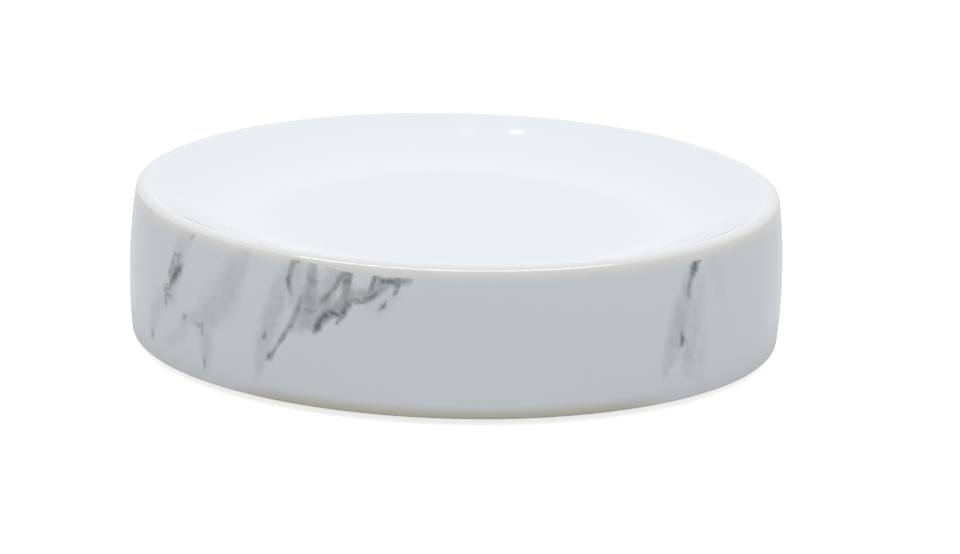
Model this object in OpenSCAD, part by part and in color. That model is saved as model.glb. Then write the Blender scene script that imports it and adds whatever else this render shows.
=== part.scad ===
// Round ceramic soap dish on four small non-slip pads.
// One glazed piece: a gently bellied wall, a rounded rim, a shallow basin with a flat
// floor, and an open hollow underneath inside a foot ring. Millimetres, +Z up, the
// pads' resting plane at z = 0 and the dish centred on the Z axis.

/* [Wall] */
// Outside diameter at the widest place of the wall
dish_d = 110; // [100:1:125]
// Height of the ceramic from its foot to the top of its rim
body_h = 25.4; // [23:0.1:30]
// Height of the widest place above the foot
belly_z = 11.6; // [9:0.1:14]
// Radius of the wall's gentle outward curve, seen from the side
wall_curve_r = 95; // [70:1:200]

/* [Rim] */
// Radius of the rounded top of the rim
rim_crown_r = 2.4; // [1.6:0.1:4]
// Radius of the rim's outer edge, where the crown turns down into the wall
rim_edge_r = 1; // [0.6:0.1:1.4]
// Angle from level at which the crown passes into the outer edge
rim_edge_angle = 35; // [20:1:50]

/* [Basin] */
// Depth of the basin's flat floor below the top of the rim
basin_depth = 5.8; // [4.5:0.1:8]
// Angle from level of the basin's side just inside the rim
basin_slope = 24; // [20:1:30]
// Radius of the hollow curve between the floor and the side
basin_curve_r = 33; // [20:1:40]

/* [Underside] */
// Thickness of the basin's floor
floor_t = 5; // [4:0.1:6]
// Width of the foot ring, from the wall's outside to the hollow
foot_w = 9; // [8:0.1:11]
// Radius of the foot's outer edge
foot_edge_r = 1; // [0.5:0.1:2]
// Radius of the foot's inner edge
foot_lip_r = 0.6; // [0.3:0.1:0.9]
// Draft angle of the hollow's side
hollow_draft = 8; // [3:1:12]
// Radius of the corner between the hollow's side and its ceiling
hollow_corner_r = 7; // [3:0.5:9]

/* [Non-slip pads] */
// Number of pads round the foot ring
pad_count = 4; // [3:1:4]
// Diameter of a pad
pad_d = 5; // [4:0.1:5.5]
// Thickness of a pad
pad_t = 1; // [0.8:0.1:2]
// Radius of a pad's lower edge
pad_edge_r = 0.3; // [0.1:0.1:0.6]
// Distance from the hollow's edge to a pad
pad_inset = 0.7; // [0.6:0.1:1]

/* [Hidden] */
PAD_NAMES = ["pad_front_right", "pad_back_right", "pad_back_left", "pad_front_left"];

// Smoothness of the round shapes
$fn = 180;
// Overrun of cutting shapes past the faces that they cut
cut_over = 2;
// Bearing of the first pad, midway between the front and the right
first_pad_at = -45;
// A rounding stands this much proud of what it joins, so that their outlines cross
proud = 0.0003;
// Angles by which a rounding's cut and its arc run on past its joins
cut_spread = 0.05;
arc_spread = 6;
// How far a rounding's cut reaches, in radii
cut_reach_share = 3;

// Unit vector in the section's plane, at an angle from level
function dir(a) = [cos(a), sin(a)];
// Angle from level of the line from one point to another
function bearing(p, q) = atan2(q[1] - p[1], q[0] - p[0]);

// The wall's outside is one arc round this point
wall_c = [dish_d / 2 - wall_curve_r, belly_z];
// Distance from the axis of a circle's centre, at height z, whose circle touches the wall from inside
function inside_wall(r, z) = wall_c[0] + sqrt(pow(wall_curve_r - r, 2) - pow(z - belly_z, 2));

// Rim: centres of the outer edge and of the crown, which meet on one line through both
crown_out = 90 - rim_edge_angle;
crown_z = body_h - rim_crown_r;
edge_z = crown_z + (rim_crown_r - rim_edge_r) * sin(crown_out);
edge_c = [inside_wall(rim_edge_r, edge_z), edge_z];
crown_c = edge_c - (rim_crown_r - rim_edge_r) * dir(crown_out);

// Basin: its side starts where the crown ends, and its curve's centre lies inward of it
side_top = crown_c + rim_crown_r * dir(90 + basin_slope);
floor_z = body_h - basin_depth;
curve_z = floor_z + basin_curve_r;
curve_in = (basin_curve_r - (curve_z - side_top[1]) * cos(basin_slope)) / sin(basin_slope);
curve_c = [side_top[0] - curve_in, curve_z];
floor_side_r = curve_c[0] + basin_curve_r * tan(basin_slope / 2);
side_over = side_top + 2 * rim_crown_r * dir(basin_slope);

// Foot ring and the hollow inside it
foot_c = [inside_wall(foot_edge_r, foot_edge_r), foot_edge_r];
hollow_r = inside_wall(0, 0) - foot_w;
ceiling_z = floor_z - floor_t;
ceiling_r = hollow_r - ceiling_z * tan(hollow_draft);
corner_c = [ceiling_r - hollow_corner_r * tan((90 - hollow_draft) / 2), ceiling_z - hollow_corner_r];
lip_c = [hollow_r + foot_lip_r * tan((90 - hollow_draft) / 2), foot_lip_r];

// Distance from the axis to the middle of a pad
pad_ring_r = hollow_r + pad_inset + pad_d / 2;

// Roundings: centre, radius, and the angles of the first and last join; the crown runs out past the wall
rim_edge = [edge_c, rim_edge_r, bearing(wall_c, edge_c), crown_out];
rim_crown = [crown_c, rim_crown_r, 0, 90 + basin_slope];
foot_edge = [foot_c, foot_edge_r, -90, bearing(wall_c, foot_c)];
foot_lip = [lip_c, foot_lip_r, 180 + hollow_draft, 270];
basin_curve = [curve_c, basin_curve_r, -90, basin_slope - 90];
hollow_corner = [corner_c, hollow_corner_r, hollow_draft, 90];
pad_edge = [[pad_d / 2 - pad_edge_r, pad_edge_r], pad_edge_r, -90, 0];

// Wedge that a rounding fills, wider by an angle at each of its joins
module wedge(round, spread) {
    reach = round[1] * cut_reach_share;
    from = round[2] - spread;
    to = round[3] + spread;
    middle = (from + to) / 2;
    translate(round[0])
        polygon(reach * [[0, 0], dir(from), dir(middle) / cos(to - middle), dir(to)]);
}

// Rounds the outward corners of a section: cuts each wedge away, then fills it with a part of a circle
module rounded(rounds, stands_out = proud) {
    difference() {
        children();
        for (round = rounds) wedge(round, cut_spread);
    }
    for (round = rounds)
        intersection() {
            translate(round[0]) circle(round[1] + stands_out);
            wedge(round, arc_spread);
        }
}

// Half section of the space that the basin takes out of the top
module basin_section() {
    rounded([basin_curve])
        polygon([[0, floor_z], [floor_side_r, floor_z], side_over, [0, side_over[1]]]);
}

// Half section of the hollow underneath
module hollow_section() {
    rounded([hollow_corner])
        polygon([[0, -cut_over], [hollow_r, -cut_over], [hollow_r, 0], [ceiling_r, ceiling_z], [0, ceiling_z]]);
}

// Half section of the ceramic
module body_section() {
    rounded([rim_edge, foot_edge], 2 * proud)
        intersection() {
            translate(wall_c) circle(wall_curve_r);
            rounded([rim_crown, foot_lip])
                difference() {
                    square([dish_d, body_h]);
                    basin_section();
                    hollow_section();
                }
        }
}

module dish_body() {
    color("white") translate([0, 0, pad_t]) rotate_extrude() body_section();
}

// One pad: a thin disc under the foot ring, rounded round its lower edge
module pad(i) {
    color("gainsboro")
        rotate([0, 0, first_pad_at + i * 360 / pad_count])
            translate([pad_ring_r, 0, 0])
                rotate_extrude() rounded([pad_edge]) square([pad_d / 2, pad_t]);
}

dish_body();
for (i = [0 : pad_count - 1])
    pad(i);
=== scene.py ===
import math

import bmesh
import bpy
import numpy as np
from mathutils import Matrix, Vector


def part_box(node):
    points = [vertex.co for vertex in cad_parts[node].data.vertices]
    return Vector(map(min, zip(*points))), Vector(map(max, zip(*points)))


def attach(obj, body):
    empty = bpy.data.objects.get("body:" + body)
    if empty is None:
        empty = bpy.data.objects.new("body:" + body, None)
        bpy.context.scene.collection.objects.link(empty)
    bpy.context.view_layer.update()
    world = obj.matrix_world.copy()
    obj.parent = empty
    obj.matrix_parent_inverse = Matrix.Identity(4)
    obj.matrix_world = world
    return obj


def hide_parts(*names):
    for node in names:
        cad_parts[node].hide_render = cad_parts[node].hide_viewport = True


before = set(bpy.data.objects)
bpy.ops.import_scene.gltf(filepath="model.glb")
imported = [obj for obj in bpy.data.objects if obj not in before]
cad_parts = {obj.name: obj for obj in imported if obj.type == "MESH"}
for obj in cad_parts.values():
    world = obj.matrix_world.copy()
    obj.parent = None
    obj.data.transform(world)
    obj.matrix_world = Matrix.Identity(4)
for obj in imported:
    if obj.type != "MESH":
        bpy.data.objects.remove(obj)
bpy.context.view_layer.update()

MM = 0.001

# Sizes of the ceramic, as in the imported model: heights above its foot, radii and thicknesses
WALL_R = 55 * MM
BODY_H = 25.4 * MM
BELLY_Z = 11.6 * MM
WALL_CURVE_R = 95 * MM
RIM_CROWN_R = 2.4 * MM
BASIN_DEPTH = 5.8 * MM
BASIN_SLOPE = 24          # degrees from level
FLOOR_T = 5 * MM
FOOT_W = 9 * MM
FOOT_EDGE_R = 1.0 * MM
FOOT_LIP_R = 0.6 * MM
HOLLOW_DRAFT = 8          # degrees from upright
HOLLOW_CORNER_R = 7 * MM
PAD_T = 1.0 * MM          # the foot stands this high, on the pads

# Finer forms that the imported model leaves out: the crown breaks into a tight corner at a line
# round the rim, below it the wall has a soft shoulder, and the basin's side steepens upwards
RIM_LINE_ANGLE = 40       # degrees from level at which the crown ends
RIM_LINE_R = 0.35 * MM
SHOULDER_R = 4 * MM
SHOULDER_ANGLE = 20       # degrees from upright at which the shoulder starts
SIDE_TOP_SLOPE = 27       # degrees from level where the basin's side meets the crown
SIDE_CURVE_R = 100 * MM

# Finish of the ceramic's surface
INSET = 0.02 * MM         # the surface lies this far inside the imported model's
GLAZE_T = 0.12 * MM       # how far the bare foot lies behind the glaze
GLAZE_END_ANGLE = 52      # degrees round the foot's outer edge at which the glaze ends
GLAZE_LIP_ANGLE = 8       # degrees in which it rounds off there
GLAZE_LIP_H = 0.2 * MM    # height in which it rounds off inside the hollow
GLAZE_END_Z = 1.35 * MM   # height at which it ends there
GLAZE_END_WAVE = 0.1 * MM     # how far that end rises and falls round the dish
GLAZE_END_FADE = 2.5 * MM     # height in which the rise and fall dies out above and below it
RIPPLE = 0.035 * MM       # how far the glazed surface wanders inward
CALM_R = 30 * MM          # from here to the axis the wandering dies out

# Rows of the glaze's rolled edge. Outside, each is a share of the angle in which it rounds off and
# of its thickness; in the hollow, a share of its thickness and of the height
ROLL_OUTSIDE = ((0.5, 0.15), (0.85, 0.5), (1, 1))
ROLL_INSIDE = ((1, -1), (0.5, -0.85), (0.15, -0.5))

# Waves round the dish, each with its share of the whole, how often it comes round, its start in
# radians and how many radians it turns per metre of height
RIPPLE_WAVES = ((0.5, 3, 1.1, 0), (0.3, 7, 2.3, 90), (0.2, 16, 0.4, -140))
EDGE_WAVES = ((0.5, 4, 0.7, 0), (0.3, 11, 1.9, 0), (0.2, 23, 0, 0))

# Fineness of the turned meshes
AROUND = 384
AROUND_PAD = 64
STEP_FINE = 6             # degrees between rows on small roundings
STEP_RIM = 1.5            # degrees between rows on the crown and the shoulder
STEP_BROAD = 1.2          # degrees between rows on the basin's curve
STEP_SIDE = 0.4           # degrees between rows on the basin's side
STEP_WALL = 0.7 * MM
STEP_FLAT = 3 * MM
STEP_PAD_ROUND = 15       # degrees between rows on a pad's roundings
STEP_PAD_FLAT = 0.5 * MM

# Pads
PAD_DRAFT = 0.06 * MM     # how far a pad's side leans in downwards
PAD_TOP_R = 0.12 * MM
PAD_EDGE_R = 0.3 * MM
PAD_DIMPLE_R = 1.1 * MM
PAD_DIMPLE_H = 0.08 * MM

# Materials of the pads and of the bare clay: linear colours, and noise scales per metre. A range
# says between which values of a noise the change from one look to the other lies
PAD_PALE = (0.72, 0.73, 0.73, 1)
PAD_GREY = (0.62, 0.64, 0.65, 1)
PAD_CLEAR = 0.45          # share of the light that the pads let through
PAD_IOR = 1.42
PAD_MILK_SCALE = 600
PAD_MILK_DETAIL = 3.0
PAD_MILK_RANGE = (0.3, 0.7)
PAD_ROUGH_LEAST = 0.28
PAD_ROUGH_MOST = 0.42
CLAY_PALE = (0.60, 0.56, 0.44, 1)
CLAY_DARK = (0.50, 0.46, 0.34, 1)
CLAY_SPECK = (0.28, 0.24, 0.16, 1)
CLAY_GRAIN_SCALE = 2600
CLAY_GRAIN_DETAIL = 4.0
CLAY_PATCH_SCALE = 160
CLAY_PATCH_RANGE = (0.35, 0.65)
CLAY_SPECK_RANGE = (0.60, 0.72)
CLAY_SPECK_SHARE = 0.5
CLAY_BUMP = 0.05 * MM
CLAY_BUMP_STRENGTH = 0.6
CLAY_ROUGHNESS = 0.75

# Glaze: linear colours, and where each of them starts and is full, as heights above the foot or
# distances from the axis in millimetres. Besides the glaze's own colours they hold painted light,
# a painted reflection and painted shade, each named below
GLAZE_COOL = (0.815, 0.845, 0.885, 1)
GLAZE_BASIN_PAINTED_LIGHT = (0.855, 0.88, 0.925, 1)
GLAZE_WARM_REFLECTION = (0.895, 0.898, 0.89, 1)
GLAZE_CROWN_SHADE = (0.80, 0.803, 0.80, 1)
GLAZE_LOW = (0.63, 0.615, 0.50, 1)
GLAZE_IOR = 1.5
GLOSS_SCALE = 130
GLOSS_RANGE = (0.3, 0.7)
GLOSS_LEAST = 0.05
GLOSS_MOST = 0.09
RIM_REFLECTION_UP = (22.4, 24.2)      # the painted warm reflection on the wall's upper edge, by height
RIM_SHADE_UP = (24.6, 24.8)      # the crown's painted shade, by height
RIM_SHADE_OUT = (52.3, 53.1)     # and by distance
BASIN_LIGHT_RING = (26, 38)           # the painted light on the basin's sides, by distance
BASIN_LIGHT_RING_END = (52.4, 51.4)   # its end at the rim, by distance, inwards
BASIN_ABOVE = (18.5, 19.0)      # and by height, which leaves the hollow out
GLAZE_LOW_WARM_SHADE = (2.8, 0.3)     # the warm tint at the foot, partly painted shade, by height, downwards
GLAZE_LOW_WAVES = 2             # how often that tint comes round the dish
GLAZE_LOW_RANGE = (0.05, 0.55)  # the part of each wave in which it grows
WALL_ONLY = (52.5, 53.5)        # the wall, by distance

# The printed band: where it ends above and below, in millimetres above the foot, and how its
# upper edge rises towards the left, in millimetres round the wall from the front
BAND_TOP = 23.25
BAND_TOP_LEFT = 24.25
BAND_RISE = (-15, -27)
BAND_EDGE = 0.22                # height in which the upper edge fades
BAND_FADE = (1.4, 4.0)          # heights between which the lower edge fades
BAND_SHIFT = (0.38, -0.17, 0)   # millimetres by which the veins' points are moved, right and up

# The band comes round again at the right and the back, and in part at the left. Each repeat: the
# degrees round the wall past which it starts, and by how much it is turned there against what
# comes before it
BAND_REPEATS = ((69, 150), (-79, -146), (-152, -64))

# Veins, in thin dark lines and pale broad washes: linear colours, and noise scales per metre
VEIN_BLUE = (0.150, 0.178, 0.195, 1)
VEIN_GREEN = (0.155, 0.185, 0.175, 1)
VEIN_TINT_SCALE = 260
VEIN_TINT_RANGE = (0.4, 0.6)
VEIN_DRIFT_SCALE = 420
VEIN_DRIFT_DETAIL = 4.0
VEIN_DRIFT_ROUGHNESS = 0.6
NOISE_MIDDLE = (0.5, 0.5, 0.5)
INK_DRIFT = (1.0, 1.0, 0)       # how far a line is moved by the noise, in millimetres
WASH_DRIFT = (2.2, 2.2, 0)
INK_CORE = 0.05                 # share of its width at which a line is fully dark
WASH_CORE = 0.2
INK_SPREAD = 1.35               # how much wider than its points say a line is drawn
WASH_SPREAD = 1.0
INK_GRAIN_SCALE = 1500
INK_GRAIN_RANGE = (0.35, 0.6)
INK_GRAIN_LOW = 0.62
WASH_CLOUD_SCALE = 500
WASH_CLOUD_DETAIL = 3.0
WASH_CLOUD_RANGE = (0.3, 0.7)
WASH_CLOUD_LOW = 0.75
WASH_CLOUD_HIGH = 1.2

# Every vein is a row of points: degrees round the wall from the front, positive to the right,
# millimetres above the foot, half its width in millimetres, and how dark it is from 0 to 1
INK_VEINS = [
    # front: the broken dark line along the band's upper edge
    [(-7.6, 23.3, 0.35, 0.40), (-8.9, 23.3, 0.45, 0.60), (-9.9, 23.1, 0.60, 0.85),
     (-9.9, 22.3, 0.55, 0.85), (-10.2, 21.3, 0.50, 0.75), (-10.5, 20.6, 0.35, 0.40)],
    [(-10.2, 22.8, 0.50, 0.70), (-11.4, 22.9, 0.65, 0.90), (-12.3, 22.7, 0.50, 0.75),
     (-13.2, 23.3, 0.45, 0.50), (-14.0, 23.4, 0.60, 0.85), (-14.3, 22.5, 0.60, 0.90),
     (-14.6, 21.5, 0.55, 0.80), (-14.9, 20.9, 0.45, 0.50)],
    # front: the line that goes on down to the left
    [(-13.8, 20.6, 0.60, 0.55), (-14.6, 19.9, 0.65, 0.80), (-15.3, 19.3, 0.75, 0.85),
     (-16.1, 18.9, 0.45, 0.55), (-16.9, 19.2, 0.65, 0.70), (-17.9, 18.9, 0.55, 0.65),
     (-18.7, 17.9, 0.65, 0.80), (-19.3, 17.0, 0.80, 0.95), (-19.9, 16.1, 0.70, 0.90),
     (-20.4, 15.3, 0.40, 0.70)],
    [(-20.2, 16.5, 0.65, 0.85), (-21.3, 16.8, 0.85, 1.00), (-22.4, 16.2, 0.95, 1.00),
     (-23.3, 15.2, 0.85, 1.00), (-23.9, 14.1, 0.85, 1.00), (-24.4, 13.1, 0.45, 0.60)],
    [(-11.8, 19.6, 0.30, 0.40), (-12.3, 18.7, 0.60, 0.90), (-12.8, 18.0, 0.40, 0.50)],
    # front: the lines inside the grey patch
    [(-18.5, 23.5, 0.50, 0.35), (-19.8, 23.3, 0.60, 0.50), (-20.4, 22.2, 0.65, 0.65),
     (-20.9, 21.1, 0.55, 0.55), (-22.0, 19.9, 0.50, 0.55), (-22.6, 19.2, 0.65, 0.85),
     (-23.5, 18.5, 0.40, 0.40)],
    [(-19.9, 22.3, 0.50, 0.55), (-18.6, 22.0, 0.50, 0.80), (-18.4, 23.0, 0.40, 0.45)],
    [(-26.3, 16.8, 0.35, 0.30), (-25.2, 16.4, 0.40, 0.35), (-24.1, 16.9, 0.35, 0.30)],
    # front: the left-hand lines
    [(-28.2, 24.5, 0.60, 0.50), (-29.1, 24.0, 0.75, 0.70), (-29.6, 22.6, 0.60, 0.70),
     (-29.9, 21.0, 0.70, 0.85), (-29.6, 20.0, 0.60, 0.65), (-29.0, 18.8, 0.40, 0.35)],
    [(-27.3, 18.6, 0.60, 0.35), (-27.7, 16.6, 0.70, 0.65), (-28.2, 15.4, 0.60, 0.50),
     (-28.8, 13.7, 0.85, 0.65), (-29.9, 12.6, 0.60, 0.55), (-30.6, 11.2, 0.60, 0.75),
     (-31.6, 9.8, 0.42, 0.50), (-32.4, 8.5, 0.50, 0.65), (-33.1, 7.8, 0.80, 0.95),
     (-33.7, 7.3, 0.40, 0.40)],
    [(-34.0, 11.6, 0.40, 0.50), (-34.2, 10.9, 0.50, 0.80)],
    # left: the dark blot, the loop beside it and the hook under it
    [(-55.0, 18.8, 0.60, 0.50), (-56.0, 18.0, 1.20, 0.95), (-56.9, 17.1, 1.35, 1.00),
     (-57.8, 16.1, 1.10, 0.95), (-58.5, 14.9, 0.65, 0.80), (-58.6, 13.9, 0.40, 0.45)],
    [(-56.1, 20.5, 0.48, 0.45), (-57.8, 20.1, 0.44, 0.45), (-58.3, 18.4, 0.44, 0.50),
     (-59.2, 16.7, 0.50, 0.60), (-58.5, 15.4, 0.50, 0.55)],
    [(-56.1, 20.4, 0.44, 0.40), (-56.7, 19.0, 0.40, 0.35), (-56.4, 18.1, 0.45, 0.50)],
    [(-59.8, 14.5, 0.38, 0.45), (-60.6, 13.4, 0.42, 0.55), (-59.4, 13.8, 0.42, 0.60),
     (-58.5, 14.3, 0.42, 0.60)],
    [(-58.1, 12.9, 0.36, 0.50), (-60.0, 12.9, 0.42, 0.55), (-59.9, 11.2, 0.48, 0.50)],
    [(-65.5, 5.1, 0.45, 0.40), (-65.9, 4.5, 0.60, 0.60), (-66.8, 3.7, 0.45, 0.30)],
    # left: the dots and dashes
    [(-52.6, 24.4, 0.60, 0.40), (-53.2, 23.6, 0.45, 0.25)],
    [(-53.2, 10.9, 0.35, 0.30), (-53.9, 10.4, 0.65, 0.80), (-53.8, 9.9, 0.40, 0.45)],
    [(-50.5, 10.2, 0.32, 0.30), (-49.6, 9.9, 0.48, 0.55)],
    [(-48.7, 10.2, 0.46, 0.55), (-48.7, 8.7, 0.46, 0.45)],
    [(-48.1, 4.9, 0.36, 0.40), (-48.2, 3.6, 0.42, 0.65), (-48.5, 2.3, 0.36, 0.50)],
    # right: the block at the band's edge, the line under it and the dot
    [(46.6, 23.4, 0.45, 0.60), (45.4, 23.0, 0.95, 0.95), (45.1, 22.2, 0.95, 1.00),
     (44.4, 21.1, 0.60, 0.70), (43.7, 19.8, 0.50, 0.60), (43.4, 18.5, 0.48, 0.50),
     (43.8, 17.6, 0.40, 0.25)],
    [(41.8, 12.1, 0.40, 0.50), (42.1, 11.0, 0.75, 0.90), (42.0, 10.2, 0.60, 0.85)],
    [(42.9, 10.6, 0.35, 0.30), (43.5, 9.8, 0.30, 0.20)],
]
WASH_VEINS = [
    # left of the front
    [(-39.6, 24.0, 2.4, 0.12), (-41.4, 20.0, 3.8, 0.20), (-43.6, 16.0, 4.6, 0.20),
     (-47.0, 12.4, 4.2, 0.20), (-48.2, 10.6, 3.4, 0.20), (-47.6, 7.4, 2.4, 0.18),
     (-47.8, 3.4, 1.8, 0.12)],
    [(-48.6, 10.8, 1.8, 0.18), (-53.4, 10.4, 1.8, 0.16), (-54.4, 7.6, 2.2, 0.12),
     (-59.6, 4.8, 1.8, 0.07)],
    [(-30.4, 22.6, 1.8, 0.14), (-31.6, 18.0, 2.6, 0.24), (-33.2, 13.0, 2.6, 0.25),
     (-34.6, 8.6, 2.2, 0.22), (-36.0, 3.4, 1.0, 0.10)],
    [(-27.8, 24.4, 2.2, 0.16), (-28.7, 21.6, 2.4, 0.20), (-28.4, 18.4, 2.4, 0.18),
     (-28.0, 16.0, 1.8, 0.12)],
    [(-54.0, 24.6, 2.2, 0.10), (-56.0, 21.4, 2.8, 0.15), (-57.4, 17.6, 2.4, 0.32),
     (-58.6, 13.2, 3.0, 0.24), (-62.0, 11.2, 2.8, 0.17), (-64.6, 8.6, 2.8, 0.18),
     (-66.0, 4.8, 1.8, 0.20)],
    # the grey patch at the front
    [(-25.2, 24.2, 1.4, 0.40), (-25.2, 21.2, 1.9, 0.50), (-25.6, 18.2, 3.2, 0.42),
     (-26.4, 15.0, 2.6, 0.38), (-26.9, 13.4, 1.6, 0.26)],
    [(-21.4, 23.4, 2.2, 0.18), (-22.0, 20.6, 2.8, 0.26), (-22.8, 17.6, 3.0, 0.38),
     (-25.0, 14.2, 1.8, 0.28)],
    [(-19.2, 23.2, 1.4, 0.44), (-18.9, 21.0, 1.5, 0.50), (-19.0, 18.8, 1.6, 0.56),
     (-20.8, 17.6, 1.6, 0.44)],
    [(-17.4, 20.2, 1.8, 0.42), (-15.2, 20.4, 1.7, 0.46), (-13.0, 21.8, 1.8, 0.52),
     (-10.8, 22.8, 1.2, 0.48), (-8.4, 22.8, 0.9, 0.28)],
    [(-11.0, 20.6, 2.4, 0.10), (-13.4, 18.2, 2.6, 0.08)],
    # right of the front
    [(45.0, 22.4, 1.8, 0.30), (43.2, 19.0, 2.2, 0.26), (42.0, 15.6, 3.2, 0.24),
     (40.8, 12.0, 3.2, 0.28), (39.8, 8.6, 2.4, 0.20), (38.8, 6.0, 1.6, 0.12)],
    [(46.4, 20.6, 2.8, 0.08), (45.0, 15.6, 3.8, 0.13), (44.2, 11.4, 3.2, 0.18),
     (43.8, 8.6, 2.6, 0.22), (44.4, 5.4, 2.2, 0.10)],
    [(46.6, 10.6, 2.8, 0.08), (47.2, 6.8, 2.6, 0.08), (46.8, 3.8, 2.0, 0.04)],
    [(50.4, 22.4, 2.8, 0.07), (52.0, 17.6, 2.6, 0.05)],
]

# Inputs of the node group that draws one length of a vein
STROKE_INPUTS = {
    "Place": "Vector",
    "Start": "Vector",
    "Run": "Vector",
    "Along": "Vector",
    "Along start": "Float",
    "Width": "Float",
    "Width change": "Float",
    "Core": "Float",
    "First ink": "Float",
    "Ink change": "Float",
    "Below": "Float",
}

# Camera: the photograph's view. The aim is beside the dish, because the photograph's dish isn't
# in the middle of the picture
CAMERA_AWAY = 20 * WALL_R
CAMERA_UP = 14.9          # degrees above level
CAMERA_ROLL = 1.52        # degrees
CAMERA_LENS = 245         # millimetres
CAMERA_TARGET_Z = PAD_T + BODY_H / 2
AIM_RIGHT = 3.98 * MM
AIM_DOWN = 3.11 * MM

# Stage: a plain floor, a white world and soft lamps that the camera doesn't see
WHITE = (1, 1, 1, 1)
FLOOR_HALF = 30.0
FLOOR_COLOUR = (0.80, 0.80, 0.80, 1)
FLOOR_GLOW = 0.78         # how far the camera sees the floor lightened, near the dish
FLOOR_GLOW_FAR = 1.0
FLOOR_MIRRORED = 0.06     # the same for what the glaze reflects
FLOOR_MIRRORED_FAR = 0.25
FLOOR_NEAR = 0.35         # distances from the dish between which these change
FLOOR_FAR = 1.6
SLANT = 0.7071            # sine and cosine of 45 degrees
SKY_GLOWS = (
    # towards, how narrow, how strong
    ((0, 0, 1), 4, 0.86),
    ((0, -SLANT, SLANT), 3, 0.475),
    ((-SLANT, 0, SLANT), 3, 0.22),
    ((SLANT, 0, SLANT), 3, 0.26),
)
LAMPS = {
    # name: place, aimed at, degrees that its length is turned, length, width, watts. The three
    # strips overhead form a bow, whose image follows the line round the rim
    "strip_middle": ((0.0, -0.08, 1.10), (0.0, -0.08, 0.0), 0, 0.56, 0.12, 2.40),
    "strip_right": ((0.43, 0.07, 1.10), (0.43, 0.07, 0.0), 37, 0.38, 0.12, 1.40),
    "strip_left": ((-0.43, 0.07, 1.10), (-0.43, 0.07, 0.0), -37, 0.38, 0.12, 1.70),
    "spot_behind": ((-0.112, 0.605, 1.080), (0.009, 0.047, 0.025), -6, 0.024, 0.018, 0.0080),
    "spark_behind": ((-0.012, 0.598, 1.091), (0.002, 0.047, 0.025), 0, 0.044, 0.006, 0.0042),
}


def direction(angle):
    """Unit vector in the section's plane, at an angle in degrees from level."""
    return np.array([math.cos(math.radians(angle)), math.sin(math.radians(angle))])


def bearing(start, end):
    """Angle in degrees from level of the line from one point to another."""
    return math.degrees(math.atan2(end[1] - start[1], end[0] - start[0]))


def inside_wall(radius, height):
    """Distance from the axis of a circle's centre that touches the wall's outside from within."""
    reach = math.sqrt((WALL_CURVE_R - radius) ** 2 - (height - BELLY_Z) ** 2)
    return WALL_R - WALL_CURVE_R + reach


def arc(centre, radius, first, last, step, narrow=0.0):
    """Points of an arc, both ends included. It may be narrower than it is high."""
    count = max(2, int(abs(last - first) / step) + 2)
    shape = np.array([radius - narrow, radius])
    return [centre + shape * direction(a) for a in np.linspace(first, last, count)]


def line(start, end, step):
    """Points of a straight line, both ends included."""
    start, end = np.array(start), np.array(end)
    count = max(2, int(np.linalg.norm(end - start) / step) + 2)
    return [start + (end - start) * t for t in np.linspace(0, 1, count)]


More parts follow.
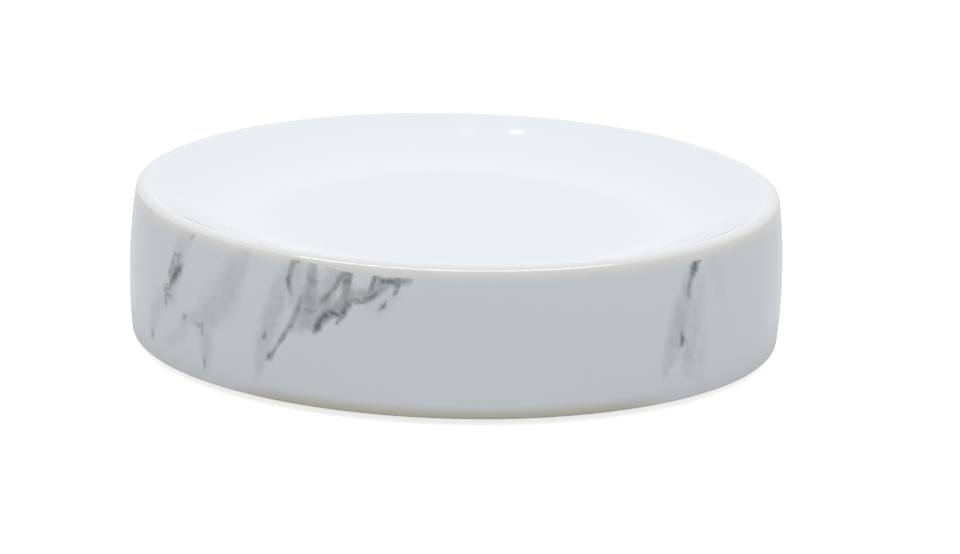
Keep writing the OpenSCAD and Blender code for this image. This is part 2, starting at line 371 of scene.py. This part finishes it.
def dish_section():
    """Half section of the ceramic, from the basin's middle over the rim and round the foot to the
    hollow's middle: the points, the row at which the bare clay starts and the row at which it ends."""
    wall_c = np.array([WALL_R - WALL_CURVE_R, BELLY_Z])
    crown_end = 90 - RIM_LINE_ANGLE
    crown_to_line = (RIM_CROWN_R - RIM_LINE_R) * direction(crown_end)
    shoulder_to_line = (SHOULDER_R - RIM_LINE_R) * direction(SHOULDER_ANGLE)
    shoulder_z = BODY_H - RIM_CROWN_R + crown_to_line[1] - shoulder_to_line[1]
    shoulder_c = np.array([inside_wall(SHOULDER_R, shoulder_z), shoulder_z])
    line_c = shoulder_c + shoulder_to_line
    crown_c = line_c - crown_to_line
    side_top = crown_c + RIM_CROWN_R * direction(90 + SIDE_TOP_SLOPE)
    side_c = side_top + SIDE_CURVE_R * direction(90 + SIDE_TOP_SLOPE)
    side_low = side_c + SIDE_CURVE_R * direction(BASIN_SLOPE - 90)
    floor_z = BODY_H - BASIN_DEPTH
    curve_r = (side_low[1] - floor_z) / (1 - direction(BASIN_SLOPE)[0])
    curve_c = side_low + curve_r * direction(90 + BASIN_SLOPE)
    foot_c = np.array([inside_wall(FOOT_EDGE_R, FOOT_EDGE_R), FOOT_EDGE_R])
    hollow_r = inside_wall(0, 0) - FOOT_W
    ceiling_z = floor_z - FLOOR_T
    draft = math.radians(HOLLOW_DRAFT)
    half_corner = math.radians(90 - HOLLOW_DRAFT) / 2
    ceiling_r = hollow_r - ceiling_z * math.tan(draft)
    corner_z = ceiling_z - HOLLOW_CORNER_R
    corner_c = np.array([ceiling_r - HOLLOW_CORNER_R * math.tan(half_corner), corner_z])
    lip_c = np.array([hollow_r + FOOT_LIP_R * math.tan(half_corner), FOOT_LIP_R])
    corner_low = corner_c + HOLLOW_CORNER_R * direction(HOLLOW_DRAFT)
    glaze_side = np.array([hollow_r - GLAZE_END_Z * math.tan(draft), GLAZE_END_Z])

    # Glazed: the basin, the rim, the wall and the foot's outer edge
    wall_top = bearing(wall_c, shoulder_c)
    wall_end = bearing(wall_c, foot_c)
    wall_step = math.degrees(STEP_WALL / WALL_CURVE_R)
    outside = line((0, floor_z), (curve_c[0], floor_z), STEP_FLAT)
    outside += arc(curve_c, curve_r, -90, BASIN_SLOPE - 90, STEP_BROAD)[1:]
    outside += arc(side_c, SIDE_CURVE_R, BASIN_SLOPE - 90, SIDE_TOP_SLOPE - 90, STEP_SIDE)[1:]
    outside += arc(crown_c, RIM_CROWN_R, 90 + SIDE_TOP_SLOPE, crown_end, STEP_RIM)[1:]
    outside += arc(line_c, RIM_LINE_R, crown_end, SHOULDER_ANGLE, STEP_FINE)[1:]
    outside += arc(shoulder_c, SHOULDER_R, SHOULDER_ANGLE, wall_top, STEP_RIM)[1:]
    outside += arc(wall_c, WALL_CURVE_R, wall_top, wall_end, wall_step)[1:]
    outside += arc(foot_c, FOOT_EDGE_R, wall_end, -GLAZE_END_ANGLE, STEP_FINE)[1:]
    for turned, back in ROLL_OUTSIDE:
        angle = -GLAZE_END_ANGLE - turned * GLAZE_LIP_ANGLE
        outside.append(foot_c + (FOOT_EDGE_R - back * GLAZE_T) * direction(angle))

    # Bare: the underside of the foot and its inner edge
    bare_angle = -GLAZE_END_ANGLE - GLAZE_LIP_ANGLE
    bare = arc(foot_c, FOOT_EDGE_R - GLAZE_T, bare_angle, -90, STEP_FINE)[1:]
    chamfer = np.array([GLAZE_T, GLAZE_T / 2])
    bare += [bare[-1] - chamfer, bare[-1] - 2 * chamfer]
    bare += line(bare[-1], (lip_c[0], 0), STEP_FLAT)[1:]
    bare += arc(lip_c, FOOT_LIP_R, 270, 180 + HOLLOW_DRAFT, STEP_FINE, narrow=GLAZE_T)[1:]

    # Glazed: the hollow
    lip = np.array([GLAZE_T, GLAZE_LIP_H])
    inside = [glaze_side + lip * part for part in ROLL_INSIDE]
    inside += line(glaze_side, corner_low, STEP_WALL)
    inside += arc(corner_c, HOLLOW_CORNER_R, HOLLOW_DRAFT, 90, STEP_FINE)[1:]
    inside += line((corner_c[0], ceiling_z), (0, ceiling_z), STEP_FLAT)[1:]
    return np.array(outside + bare + inside), len(outside) - 1, len(outside) + len(bare)


def turned_mesh(name, rows):
    """A mesh of turned rows, each an array of points round the axis. The first and last rows are
    single points on the axis."""
    mesh = bpy.data.meshes.new(name)
    bm = bmesh.new()
    rings = [[bm.verts.new(p) for p in row] for row in rows]
    for upper, lower in zip(rings, rings[1:]):
        count = max(len(upper), len(lower))
        for i in range(count):
            j = (i + 1) % count
            if len(upper) == 1:
                bm.faces.new((upper[0], lower[i], lower[j]))
            elif len(lower) == 1:
                bm.faces.new((upper[i], lower[0], upper[j]))
            else:
                bm.faces.new((upper[i], lower[i], lower[j], upper[j]))
    bmesh.ops.recalc_face_normals(bm, faces=bm.faces)
    bm.to_mesh(mesh)
    bm.free()
    mesh.polygons.foreach_set("use_smooth", [True] * len(mesh.polygons))
    piece = bpy.data.objects.new(name, mesh)
    bpy.context.scene.collection.objects.link(piece)
    return piece


def waves(kinds, turn, height=0.0):
    """From -1 to 1: a sum of waves round the dish, at a height above the foot."""
    whole = 0 * turn
    for share, often, start, climb in kinds:
        whole = whole + share * np.sin(often * turn + start + climb * height)
    return whole


def wander(turn, height):
    """From 0 to 1: how far the hand-dipped surface lies inward, round the dish and up its wall."""
    return (1 + waves(RIPPLE_WAVES, turn, height)) / 2


def make_dish():
    """The ceramic: glazed all over, but for the bare clay of its foot."""
    section, bare_from, bare_to = dish_section()
    turn = np.linspace(0, 2 * math.pi, AROUND, endpoint=False)
    outward = np.stack([np.cos(turn), np.sin(turn)], 1)
    tangent = np.gradient(section, axis=0)
    tangent /= np.linalg.norm(tangent, axis=1)[:, None]
    normal = np.stack([-tangent[:, 1], tangent[:, 0]], 1)
    last = len(section) - 1
    rows = []
    for i, (radius, height) in enumerate(section):
        if i in (0, last):
            rows.append([(0, 0, height + PAD_T - normal[i][1] * INSET)])
            continue
        on_foot = bare_from < i < bare_to
        calm = min(1, radius / CALM_R) ** 2
        inward = 0 * turn if on_foot else INSET + RIPPLE * calm * wander(turn, height)
        near_edge = max(0, 1 - abs(height - GLAZE_END_Z) / GLAZE_END_FADE) if i >= bare_to else 0
        r = radius - normal[i][0] * inward
        z = height - normal[i][1] * inward + near_edge * GLAZE_END_WAVE * waves(EDGE_WAVES, turn)
        rows.append(np.column_stack([outward * r[:, None], z + PAD_T]))
    piece = turned_mesh("dish_glazed", rows)
    bare = [int(bare_from <= i < bare_to) for i in range(last) for _ in range(AROUND)]
    piece.data.polygons.foreach_set("material_index", bare)
    piece.data.materials.append(glaze_material())
    piece.data.materials.append(clay_material())
    return piece


def make_pad(node):
    """A moulded non-slip pad with a soft lower edge and a shallow dimple, in the CAD pad's place."""
    low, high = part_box(node)
    centre = (low + high) / 2
    radius = (high.x - low.x) / 2 - INSET
    height = high.z - low.z
    top_c = np.array([radius - PAD_TOP_R, height - PAD_TOP_R])
    edge_c = np.array([radius - PAD_DRAFT - PAD_EDGE_R, PAD_EDGE_R])
    section = line((0, height), (radius - PAD_TOP_R, height), STEP_PAD_FLAT)
    section += arc(top_c, PAD_TOP_R, 90, 0, STEP_PAD_ROUND)[1:]
    section += arc(edge_c, PAD_EDGE_R, 0, -90, STEP_PAD_ROUND)
    section += [np.array([PAD_DIMPLE_R + PAD_EDGE_R, 0]), np.array([PAD_DIMPLE_R, PAD_DIMPLE_H / 2])]
    section += line((PAD_DIMPLE_R - PAD_EDGE_R, PAD_DIMPLE_H), (0, PAD_DIMPLE_H), STEP_PAD_FLAT)
    turn = np.linspace(0, 2 * math.pi, AROUND_PAD, endpoint=False)
    rows = []
    for i, (r, z) in enumerate(section):
        if i in (0, len(section) - 1):
            rows.append([(centre.x, centre.y, low.z + z)])
            continue
        x = centre.x + r * np.cos(turn)
        y = centre.y + r * np.sin(turn)
        rows.append(np.column_stack([x, y, 0 * turn + low.z + z]))
    piece = turned_mesh(node.replace("pad", "bumper"), rows)
    piece.data.materials.append(rubber_material())
    return piece


class Nodes:
    """Writes a node tree. The calls that calculate something add a node and give its result."""

    def __init__(self, tree):
        self.tree = tree

    def add(self, kind, values=None, **settings):
        """Adds a node, with its settings and its inputs."""
        node = self.tree.nodes.new(kind)
        for name, value in settings.items():
            setattr(node, name, value)
        self.feed(node, values or {})
        return node

    def feed(self, node, values):
        """Links each given input of a node to another node's output, or sets it to a constant."""
        for key, value in values.items():
            socket = node.inputs[key]
            if isinstance(value, bpy.types.NodeSocket):
                self.tree.links.new(value, socket)
            else:
                socket.default_value = value

    def math(self, operation, *values):
        return self.add("ShaderNodeMath", dict(enumerate(values)), operation=operation).outputs[0]

    def vector(self, operation, *values):
        node = self.add("ShaderNodeVectorMath", dict(enumerate(values)), operation=operation)
        return node.outputs["Value" if operation in ("DOT_PRODUCT", "DISTANCE", "LENGTH") else "Vector"]

    def fade(self, value, start, end, low=0.0, high=1.0):
        """From low at start to high at end, eased at both."""
        given = {"Value": value, "From Min": start, "From Max": end, "To Min": low, "To Max": high}
        node = self.add("ShaderNodeMapRange", given, interpolation_type="SMOOTHSTEP", clamp=False)
        return node.outputs["Result"]

    def noise(self, place, scale, detail=2.0, roughness=0.5, result="Fac"):
        given = {"Vector": place, "Scale": scale, "Detail": detail, "Roughness": roughness}
        return self.add("ShaderNodeTexNoise", given).outputs[result]

    def mix(self, share, first, second):
        node = self.add("ShaderNodeMix", {"Factor": share, 6: first, 7: second}, data_type="RGBA")
        return node.outputs[2]

    def split(self, vector):
        return self.add("ShaderNodeSeparateXYZ", {"Vector": vector}).outputs

    def join(self, x, y, z=0.0):
        return self.add("ShaderNodeCombineXYZ", {0: x, 1: y, 2: z}).outputs[0]

    def spot(self):
        """The place in the object's own frame."""
        return self.add("ShaderNodeTexCoord").outputs["Object"]


def new_material(name):
    """An empty node material, its writer and its shader."""
    material = bpy.data.materials.new(name)
    material.use_nodes = True
    material.node_tree.nodes.clear()
    nodes = Nodes(material.node_tree)
    shader = nodes.add("ShaderNodeBsdfPrincipled")
    nodes.add("ShaderNodeOutputMaterial", {"Surface": shader.outputs[0]})
    return material, nodes, shader


def stroke_group():
    """Node group: one straight length of a vein, which tapers and fades from its start to its end,
    laid over the veins before it. Distances in millimetres on the unrolled wall."""
    group = bpy.data.node_groups.new("vein_length", "ShaderNodeTree")
    for name, kind in STROKE_INPUTS.items():
        group.interface.new_socket(name, in_out="INPUT", socket_type="NodeSocket" + kind)
    group.interface.new_socket("Ink", in_out="OUTPUT", socket_type="NodeSocketFloat")
    nodes = Nodes(group)
    given = nodes.add("NodeGroupInput").outputs
    along = nodes.vector("DOT_PRODUCT", given["Place"], given["Along"])
    share = nodes.math("SUBTRACT", along, given["Along start"])
    share = nodes.math("MINIMUM", nodes.math("MAXIMUM", share, 0.0), 1.0)
    part = {"Vector": given["Run"], "Scale": share}
    reached = nodes.add("ShaderNodeVectorMath", part, operation="SCALE").outputs["Vector"]
    nearest = nodes.vector("ADD", given["Start"], reached)
    distance = nodes.vector("DISTANCE", given["Place"], nearest)
    width = nodes.math("MULTIPLY_ADD", share, given["Width change"], given["Width"])
    core = nodes.math("MULTIPLY", width, given["Core"])
    ink = nodes.math("MULTIPLY_ADD", share, given["Ink change"], given["First ink"])
    shown = nodes.fade(distance, width, core, high=ink)
    over = nodes.math("MAXIMUM", shown, given["Below"])
    nodes.add("NodeGroupOutput", {"Ink": over})
    return group


def draw_veins(nodes, group, place, veins, core, spread):
    """Lays every length of every vein over the others, and gives how much ink there is."""
    ink = 0.0
    for vein in veins:
        for first, second in zip(vein, vein[1:]):
            start = Vector((math.radians(first[0]) * WALL_R / MM, first[1], 0))
            end = Vector((math.radians(second[0]) * WALL_R / MM, second[1], 0))
            run = end - start
            along = run / run.length_squared
            given = {
                "Place": place,
                "Start": start,
                "Run": run,
                "Along": along,
                "Along start": along.dot(start),
                "Width": first[2] * spread,
                "Width change": (second[2] - first[2]) * spread,
                "Core": core,
                "First ink": first[3],
                "Ink change": second[3] - first[3],
                "Below": ink,
            }
            ink = nodes.add("ShaderNodeGroup", given, node_tree=group).outputs[0]
    return ink


def glaze_material():
    """White glaze with the printed marble band, and painted light and shade: painted light on the
    basin's sides, a painted warm reflection on the wall's upper edge, painted shade on the crown, and a
    warm tint at the foot that is partly painted shade.
    """
    material, nodes, shader = new_material("glazed_ceramic_marble")
    spot = nodes.spot()

    # Where the point lies: round the wall in the band's own count, above the foot, from the axis
    x, y, z = nodes.split(spot)
    turn = nodes.math("ARCTAN2", x, nodes.math("MULTIPLY", y, -1.0))
    band_turn = turn
    for past, turned in BAND_REPEATS:
        passed = nodes.math("GREATER_THAN" if past > 0 else "LESS_THAN", turn, math.radians(past))
        repeat = nodes.math("MULTIPLY", passed, math.radians(turned))
        band_turn = nodes.math("SUBTRACT", band_turn, repeat)
    round_mm = nodes.math("MULTIPLY", band_turn, WALL_R / MM)
    up_mm = nodes.math("MULTIPLY_ADD", z, 1 / MM, -PAD_T / MM)
    squares = nodes.math("MULTIPLY_ADD", y, y, nodes.math("MULTIPLY", x, x))
    axis_mm = nodes.math("MULTIPLY", nodes.math("SQRT", squares), 1 / MM)
    on_wall = nodes.fade(axis_mm, *WALL_ONLY)

    # The veins, moved a little by a noise
    place = nodes.vector("SUBTRACT", nodes.join(round_mm, up_mm), BAND_SHIFT)
    drift = nodes.noise(spot, VEIN_DRIFT_SCALE, VEIN_DRIFT_DETAIL, VEIN_DRIFT_ROUGHNESS, "Color")
    drift = nodes.vector("SUBTRACT", drift, NOISE_MIDDLE)
    ink_place = nodes.vector("MULTIPLY_ADD", drift, INK_DRIFT, place)
    wash_place = nodes.vector("MULTIPLY_ADD", drift, WASH_DRIFT, place)
    group = stroke_group()
    ink = draw_veins(nodes, group, ink_place, INK_VEINS, INK_CORE, INK_SPREAD)
    wash = draw_veins(nodes, group, wash_place, WASH_VEINS, WASH_CORE, WASH_SPREAD)

    # Grain in the lines, cloudiness in the washes, and both laid over one another
    grain = nodes.noise(spot, INK_GRAIN_SCALE)
    grain = nodes.fade(grain, *INK_GRAIN_RANGE, low=INK_GRAIN_LOW)
    cloud = nodes.noise(spot, WASH_CLOUD_SCALE, WASH_CLOUD_DETAIL)
    cloud = nodes.fade(cloud, *WASH_CLOUD_RANGE, low=WASH_CLOUD_LOW, high=WASH_CLOUD_HIGH)
    ink_clear = nodes.math("SUBTRACT", 1.0, nodes.math("MULTIPLY", ink, grain))
    wash_clear = nodes.math("SUBTRACT", 1.0, nodes.math("MULTIPLY", wash, cloud))
    veins = nodes.math("SUBTRACT", 1.0, nodes.math("MULTIPLY", ink_clear, wash_clear))

    # The band's edges
    top = nodes.fade(round_mm, *BAND_RISE, low=BAND_TOP, high=BAND_TOP_LEFT)
    band = nodes.fade(nodes.math("SUBTRACT", up_mm, top), BAND_EDGE, 0.0)
    band = nodes.math("MULTIPLY", band, nodes.fade(up_mm, *BAND_FADE))
    band = nodes.math("MULTIPLY", band, on_wall)
    veins = nodes.math("MULTIPLY", veins, band)

    # The glaze's tints: painted light on the basin's sides, a painted warm reflection on the wall's
    # upper edge, painted shade on the crown, and a warm tint at the foot that is partly painted shade
    # Painted light: the basin's sides are made paler and bluer than its floor, against their shade
    basin_light = nodes.math("MULTIPLY", nodes.fade(axis_mm, *BASIN_LIGHT_RING), nodes.fade(up_mm, *BASIN_ABOVE))
    basin_light = nodes.math("MULTIPLY", basin_light, nodes.fade(axis_mm, *BASIN_LIGHT_RING_END))
    glaze = nodes.mix(basin_light, GLAZE_COOL, GLAZE_BASIN_PAINTED_LIGHT)
    # Painted reflection: the wall's upper edge, below the rim, is made paler and warm
    edge = nodes.math("MULTIPLY", nodes.fade(up_mm, *RIM_REFLECTION_UP), on_wall)
    glaze = nodes.mix(edge, glaze, GLAZE_WARM_REFLECTION)
    # Painted shade: the crown is made duller and darker than the glaze round it
    crown = nodes.math("MULTIPLY", nodes.fade(up_mm, *RIM_SHADE_UP), nodes.fade(axis_mm, *RIM_SHADE_OUT))
    glaze = nodes.mix(crown, glaze, GLAZE_CROWN_SHADE)
    # Partly painted shade: the glaze turns darker and warmer towards the foot, most at the front and
    # the back
    low_tint_wave = nodes.math("COSINE", nodes.math("MULTIPLY", turn, GLAZE_LOW_WAVES))
    low = nodes.math("MULTIPLY", nodes.fade(up_mm, *GLAZE_LOW_WARM_SHADE), nodes.fade(low_tint_wave, *GLAZE_LOW_RANGE))
    glaze = nodes.mix(nodes.math("MULTIPLY", low, on_wall), glaze, GLAZE_LOW)

    tint = nodes.fade(nodes.noise(spot, VEIN_TINT_SCALE), *VEIN_TINT_RANGE)
    colour = nodes.mix(veins, glaze, nodes.mix(tint, VEIN_BLUE, VEIN_GREEN))
    satin = nodes.noise(spot, GLOSS_SCALE)
    rough = nodes.fade(satin, *GLOSS_RANGE, low=GLOSS_LEAST, high=GLOSS_MOST)
    nodes.feed(shader, {"Base Color": colour, "Roughness": rough, "IOR": GLAZE_IOR})
    return material


def clay_material():
    """Bare fired clay: matt, warm, finely grained, with darker patches and specks."""
    material, nodes, shader = new_material("bare_clay")
    spot = nodes.spot()
    grain = nodes.noise(spot, CLAY_GRAIN_SCALE, CLAY_GRAIN_DETAIL)
    patch = nodes.fade(nodes.noise(spot, CLAY_PATCH_SCALE), *CLAY_PATCH_RANGE)
    colour = nodes.mix(patch, CLAY_PALE, CLAY_DARK)
    speck = nodes.math("MULTIPLY", nodes.fade(grain, *CLAY_SPECK_RANGE), CLAY_SPECK_SHARE)
    colour = nodes.mix(speck, colour, CLAY_SPECK)
    rise = {"Height": grain, "Strength": CLAY_BUMP_STRENGTH, "Distance": CLAY_BUMP}
    bump = nodes.add("ShaderNodeBump", rise).outputs[0]
    nodes.feed(shader, {"Base Color": colour, "Normal": bump, "Roughness": CLAY_ROUGHNESS})
    return material


def rubber_material():
    """Clear soft plastic, a little milky, shared by the pads."""
    name = "pad_soft_plastic"
    if name in bpy.data.materials:
        return bpy.data.materials[name]
    material, nodes, shader = new_material(name)
    milk = nodes.noise(nodes.spot(), PAD_MILK_SCALE, PAD_MILK_DETAIL)
    colour = nodes.mix(nodes.fade(milk, *PAD_MILK_RANGE), PAD_PALE, PAD_GREY)
    rough = nodes.fade(milk, *PAD_MILK_RANGE, low=PAD_ROUGH_LEAST, high=PAD_ROUGH_MOST)
    nodes.feed(shader, {"Base Color": colour, "Roughness": rough})
    nodes.feed(shader, {"Transmission Weight": PAD_CLEAR, "IOR": PAD_IOR})
    return material


def placed(place, right, upward, back):
    """Matrix that puts a camera or a lamp at a place, with its three axes."""
    return Matrix.Translation(place) @ Matrix((right, upward, back)).transposed().to_4x4()


def make_camera():
    """The camera at the photograph's viewing angle, with the photograph's slight roll."""
    data = bpy.data.cameras.new("camera")
    data.lens = CAMERA_LENS
    camera = bpy.data.objects.new("camera", data)
    bpy.context.scene.collection.objects.link(camera)
    up = math.radians(CAMERA_UP)
    roll = math.radians(CAMERA_ROLL)
    back = Vector((0, -math.cos(up), math.sin(up)))
    level_right = Vector((1, 0, 0))
    level_up = back.cross(level_right)
    right = level_right * math.cos(roll) + level_up * math.sin(roll)
    upward = level_up * math.cos(roll) - level_right * math.sin(roll)
    aim = Vector((0, 0, CAMERA_TARGET_Z)) + right * AIM_RIGHT - upward * AIM_DOWN
    camera.matrix_world = placed(aim + back * CAMERA_AWAY, right, upward, back)
    bpy.context.scene.camera = camera


def shown_or_lit(nodes):
    """1 for rays from the camera and for rays that a glossy or clear surface sends on."""
    path = nodes.add("ShaderNodeLightPath").outputs
    seen = nodes.math("MAXIMUM", path["Is Camera Ray"], path["Is Glossy Ray"])
    return nodes.math("MAXIMUM", seen, path["Is Transmission Ray"])


def make_floor():
    """A plain pale floor that reads white and keeps the dish's shadow."""
    mesh = bpy.data.meshes.new("floor")
    bm = bmesh.new()
    corners = [(-1, -1), (1, -1), (1, 1), (-1, 1)]
    bm.faces.new([bm.verts.new((x * FLOOR_HALF, y * FLOOR_HALF, 0)) for x, y in corners])
    bm.to_mesh(mesh)
    bm.free()
    floor = bpy.data.objects.new("floor", mesh)
    bpy.context.scene.collection.objects.link(floor)
    material, nodes, shader = new_material("floor_white")
    away = nodes.vector("LENGTH", nodes.spot())
    path = nodes.add("ShaderNodeLightPath").outputs
    seen = nodes.fade(away, FLOOR_NEAR, FLOOR_FAR, low=FLOOR_GLOW, high=FLOOR_GLOW_FAR)
    mirrored = nodes.fade(away, 0.0, FLOOR_FAR, low=FLOOR_MIRRORED, high=FLOOR_MIRRORED_FAR)
    in_gloss = nodes.math("MAXIMUM", path["Is Glossy Ray"], path["Is Transmission Ray"])
    glow = nodes.math("MULTIPLY", seen, path["Is Camera Ray"])
    glow = nodes.math("ADD", glow, nodes.math("MULTIPLY", mirrored, in_gloss))
    nodes.feed(shader, {"Base Color": FLOOR_COLOUR, "Roughness": 1.0, "Specular IOR Level": 0.0})
    nodes.feed(shader, {"Emission Color": WHITE, "Emission Strength": glow})
    mesh.materials.append(material)


def make_lights():
    """A plain white world and soft lamps, hidden from the camera."""
    world = bpy.data.worlds.new("studio")
    bpy.context.scene.world = world
    world.use_nodes = True
    world.node_tree.nodes.clear()
    nodes = Nodes(world.node_tree)
    toward = nodes.add("ShaderNodeTexCoord").outputs["Generated"]
    light = 0.0
    for axis, narrow, strong in SKY_GLOWS:
        facing = nodes.math("MAXIMUM", nodes.vector("DOT_PRODUCT", toward, axis), 0.0)
        light = nodes.math("MULTIPLY_ADD", nodes.math("POWER", facing, narrow), strong, light)
    shown = shown_or_lit(nodes)
    unseen = nodes.math("SUBTRACT", 1.0, shown)
    strength = nodes.math("MULTIPLY_ADD", light, unseen, shown)
    sky = nodes.add("ShaderNodeBackground", {"Color": WHITE, "Strength": strength})
    nodes.add("ShaderNodeOutputWorld", {"Surface": sky.outputs[0]})
    for name, (place, aim, turned, width, depth, watts) in LAMPS.items():
        data = bpy.data.lights.new(name, "AREA")
        data.shape = "RECTANGLE"
        data.size = width
        data.size_y = depth
        data.energy = watts
        lamp = bpy.data.objects.new(name, data)
        bpy.context.scene.collection.objects.link(lamp)
        back = (Vector(place) - Vector(aim)).normalized()
        right = Vector((*direction(turned), 0))
        right = (right - back * right.dot(back)).normalized()
        lamp.matrix_world = placed(place, right, back.cross(right), back)
        lamp.visible_camera = False


bpy.context.scene.view_settings.view_transform = "Standard"
make_camera()
make_floor()
make_lights()
dish = make_dish()
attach(dish, "root")
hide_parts("dish_body")
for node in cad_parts:
    if node.startswith("pad_"):
        pad = make_pad(node)
        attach(pad, "root")
        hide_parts(node)
